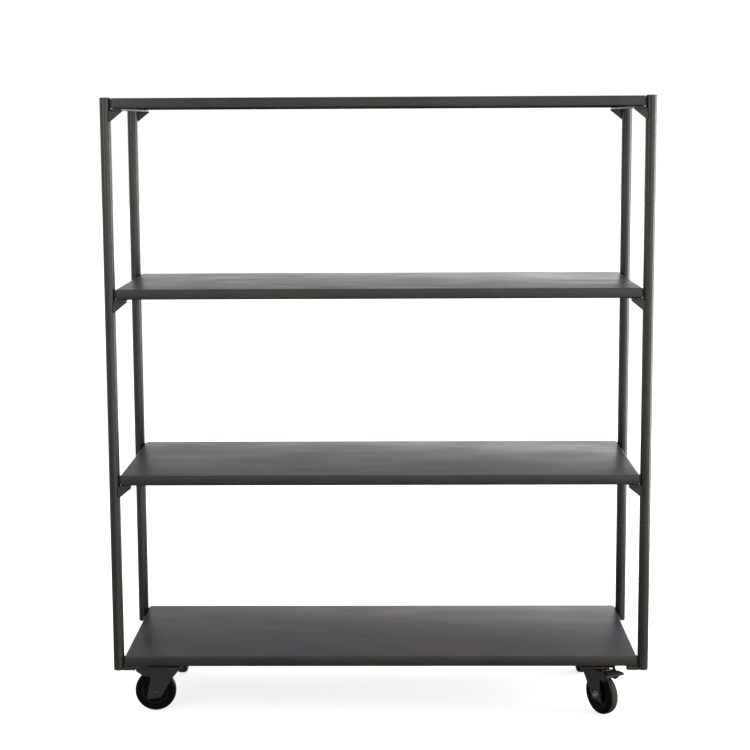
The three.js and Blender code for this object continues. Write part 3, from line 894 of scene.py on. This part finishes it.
def make_pedal(name, place):
    """Pressed pedal: pivot barrel and pin, arm, flared tread with a turned-down lip, cheeks, shoe, grip."""
    body = f"pedal_{name}"
    px, pz = PEDAL_PIVOT
    half, neck, wide = 19.7 * MM, 23 * MM, 34 * MM      # half widths of the barrel and the tread's two ends
    root, tip, end = pz + 7.5 * MM, pz + 0.5 * MM, PEDAL_END
    tread_x, tread_top = px + 16 * MM, root - 2.51 * MM
    barrel = cylinder(4.5 * MM, -half, half, 32, "Y")
    reach = 25 * MM                                     # the pin's ends, outside the fork's ears
    pin = turned(rounded_profile([(0, -reach), (PEDAL_PIN_R, -reach), (PEDAL_PIN_R, reach), (0, reach)],
                                 0.6 * MM), 24, "Y")
    for part in (barrel, pin):
        part.transform(Matrix.Translation((px, 0, pz)))
    lip = [(end - 2.5 * MM, tip - 2.5 * MM), (end - 1.5 * MM, tip - 8 * MM), (end, tip - 8 * MM),
           (end, tip - 1.8 * MM), (end - 0.8 * MM, tip - 0.5 * MM), (end - 2.5 * MM, tip)]
    arm = plate([(px - 4.5 * MM, pz + 1 * MM), (px + 3.5 * MM, pz - 1 * MM),
                 (px + 11.5 * MM, root - 5 * MM), *lip, (px + 9 * MM, root),
                 (px - 2.2 * MM, pz + 4.5 * MM)], -half + 1 * MM, half - 1 * MM)
    tread = plate([(tread_x, tread_top - 2.5 * MM), *lip, (tread_x, tread_top)], -wide, wide)
    for v in tread.verts:
        v.co.y *= (neck + (wide - neck) * (v.co.x - tread_x) / (end - tread_x)) / wide
    cheek = [(px + dx * MM, pz + dz * MM)
             for dx, dz in ((3, 4), (3, -13), (12, -22.5), (26, -13), (29, -5), (29, -2), (9, 6))]
    cheeks = [plate(cheek, y, y + 2.4 * MM) for y in (-19.4 * MM, 17 * MM)]
    shoe = plate([(px - 7 * MM, pz), (px - 7 * MM, 123 * MM), (px + 1 * MM, 119.8 * MM), (px + 4 * MM, pz)],
                 -10 * MM, 10 * MM)
    mesh = boolean(barrel, [pin, arm, tread, shoe, *cheeks], ["UNION"] * 6)
    mesh.transform(place)
    pedal = adopt(f"pedal_{name}", mesh, body, "caster_steel", bevel=0.5 * MM, segments=2, sharp=28)
    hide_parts(f"brake_pedal_{name}")
    ribs = []
    for x in (86 * MM, 89.5 * MM, 93 * MM):
        fall = (x - tread_x) / (end - 2.5 * MM - tread_x)
        z = tread_top + (tip - tread_top) * fall
        across = neck + (wide - neck) * fall - 3 * MM
        ribs.append(block((x, -across, z - 1.2 * MM), (x + 1.5 * MM, across, z + 0.5 * MM)))
    finish_piece(f"pedal_grip_{name}", merged(*ribs), body, "caster_steel", place, bevel=0.4 * MM)


def make_caster(name):
    """One caster; the front ones have a brake pedal."""
    place, axle_z = caster_place(name)
    make_plate(name)
    make_fork(name, place)
    make_axle(name, place, axle_z)
    make_wheel(name, place, axle_z)
    if name.startswith("front"):
        make_pedal(name, place)


# ---------------------------------------------------------------- build
bpy.context.scene.view_settings.view_transform = "Standard"
make_camera()
make_world()
make_floor()
softboxes = {name: make_softbox(name, *numbers) for name, numbers in SOFTBOXES.items()}

for end, side in CORNERS:
    make_post(end, side)
shelves = [make_shelf(level) for level in LEVELS]
keep_off(softboxes["right_softbox"], shelves)
for level in LEVELS:
    for side in SIDES:
        make_bearer(level, side)
    for end, side in CORNERS:
        make_gusset(level, end, side)
        make_gap_shade(level, end, side)
for side in SIDES:
    make_channel(side)
for end, side in CORNERS:
    make_caster(f"{end}_{side}")
